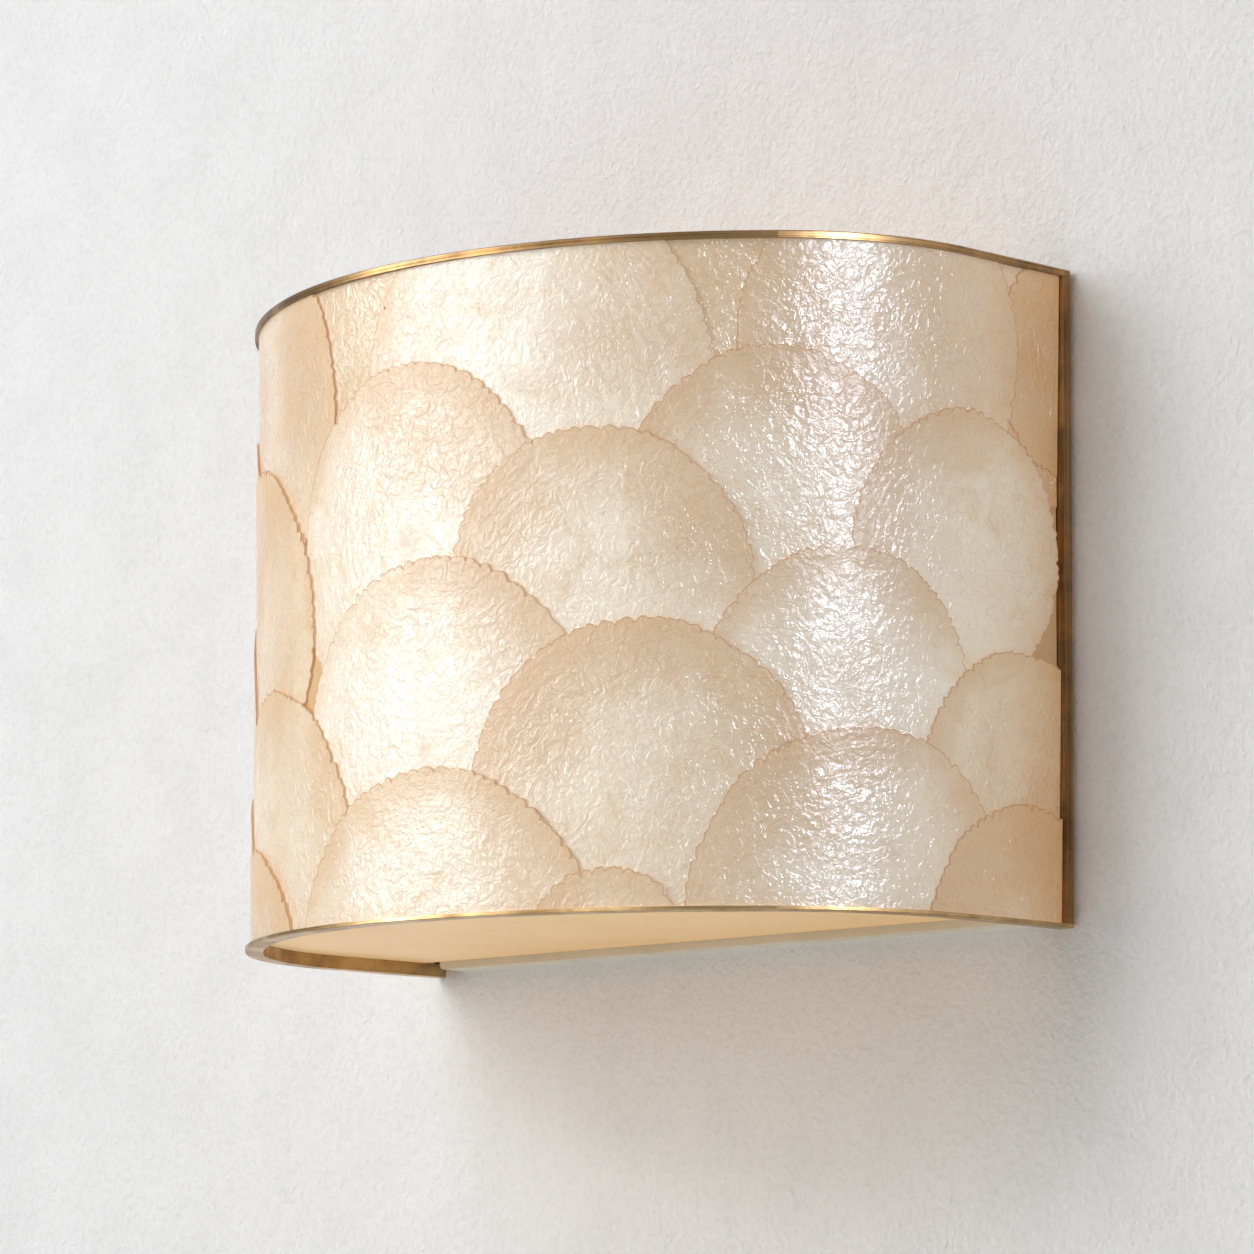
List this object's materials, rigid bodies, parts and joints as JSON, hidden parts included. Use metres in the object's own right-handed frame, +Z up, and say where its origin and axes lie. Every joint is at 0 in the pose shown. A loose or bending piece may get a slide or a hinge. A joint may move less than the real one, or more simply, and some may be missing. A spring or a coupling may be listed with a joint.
{
  "type": "wall sconce",
  "caption": "Half-drum wall sconce with a shade of overlapping capiz shells in a brass frame that lifts off an enamelled back plate; drop-in bottom diffuser and screw-in lamps.",
  "frame": {"origin": "on the wall plane, at the middle of the wall bracket and at mid height of the shade", "axes": "+X to the right along the wall, +Y into the wall, +Z up; the front of the light faces -Y"},
  "size_m": [0.3, 0.16, 0.211],
  "materials": {
    "frame_brass": "antiqued, finely brushed",
    "liner_sheet": "translucent satin",
    "capiz_shell": "pearly, crinkled, translucent natural shell",
    "cream_enamel": "satin enamel",
    "diffuser_acrylic": "frosted, translucent",
    "zinc_steel": "bright zinc plate",
    "screw_brass": "plain brass",
    "grommet_plastic": "satin black",
    "holder_porcelain": "white glaze",
    "lamp_cap_metal": "bright",
    "lamp_glass": "opal white"
  },
  "bodies": {
    "base": {"wall_bracket": "zinc_steel", "earth_screw": "screw_brass", "back_plate": "cream_enamel", "lead_grommet": "grommet_plastic", "plate_studs": "zinc_steel", "plate_nuts": "zinc_steel", "lug_studs": "zinc_steel", "lamp_arms": "cream_enamel", "arm_screws": "zinc_steel", "nipples": "screw_brass", "nipple_nuts": "screw_brass", "lampholders": "holder_porcelain", "holder_contacts": "screw_brass"},
    "shade": {"top_ring": "frame_brass", "bottom_ring": "frame_brass", "left_stile": "frame_brass", "right_stile": "frame_brass", "shade_liner": "liner_sheet", "hanging_lugs": "frame_brass", "shell_row_1": "capiz_shell", "shell_row_2": "capiz_shell", "shell_row_3": "capiz_shell", "shell_row_4": "capiz_shell", "shell_row_5": "capiz_shell", "shell_row_6": "capiz_shell", "shell_row_7": "capiz_shell", "shell_row_8": "capiz_shell"},
    "diffuser": {"bottom_diffuser": "diffuser_acrylic"},
    "nut_left": {"lug_nut_left": "screw_brass"},
    "nut_right": {"lug_nut_right": "screw_brass"},
    "lamp_left": {"lamp_cap_left": "lamp_cap_metal", "lamp_glass_left": "lamp_glass"},
    "lamp_right": {"lamp_cap_right": "lamp_cap_metal", "lamp_glass_right": "lamp_glass"}
  },
  "joints": [
    {"name": "shade_lift", "type": "slide", "parent": "base", "child": "shade", "axis": [0, 0, 1], "range_m": [0, 0.018]},
    {"name": "diffuser_lift", "type": "slide", "parent": "shade", "child": "diffuser", "axis": [0, 0, 1], "range_m": [0, 0.02]},
    {"name": "nut_left_turn", "type": "hinge", "parent": "base", "child": "nut_left", "pos_m": [-0.085, -0.015, 0.0909], "axis": [0, -1, 0], "continuous": true},
    {"name": "nut_right_turn", "type": "hinge", "parent": "base", "child": "nut_right", "pos_m": [0.085, -0.015, 0.0909], "axis": [0, -1, 0], "continuous": true},
    {"name": "lamp_left_turn", "type": "hinge", "parent": "base", "child": "lamp_left", "pos_m": [-0.065, -0.072, 0], "axis": [0, 0, 1], "continuous": true},
    {"name": "lamp_right_turn", "type": "hinge", "parent": "base", "child": "lamp_right", "pos_m": [0.065, -0.072, 0], "axis": [0, 0, 1], "continuous": true}
  ]
}
